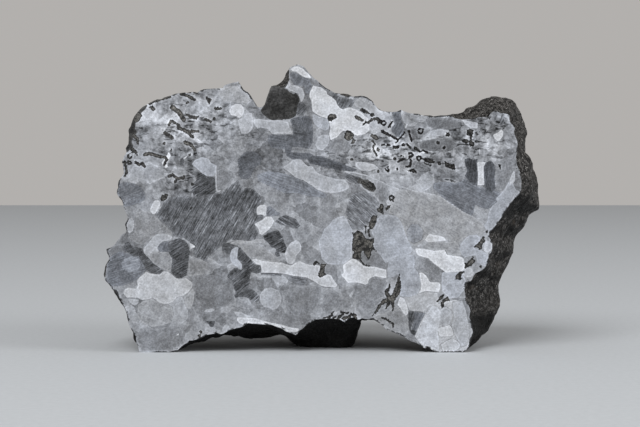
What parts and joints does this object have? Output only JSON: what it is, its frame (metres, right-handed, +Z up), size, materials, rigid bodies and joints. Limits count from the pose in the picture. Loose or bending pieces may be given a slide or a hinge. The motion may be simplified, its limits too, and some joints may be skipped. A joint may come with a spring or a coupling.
{
  "type": "iron meteorite",
  "caption": "Iron meteorite end cut: a sawn, polished and etched face with rough natural skin behind it, standing on feet at the face and a lump behind.",
  "frame": {"origin": "on the ground under the middle of the bounding box", "axes": "+X to the viewer's right along the longest extent, +Y from the sawn face to the back, +Z up"},
  "size_m": [0.1108, 0.0428, 0.0721],
  "materials": {
    "etched_iron": "etched nickel-iron, polished on the sawn face and dark, rough and weathered on the natural skin"
  },
  "bodies": {
    "root": {"meteorite": "etched_iron"}
  },
  "joints": []
}
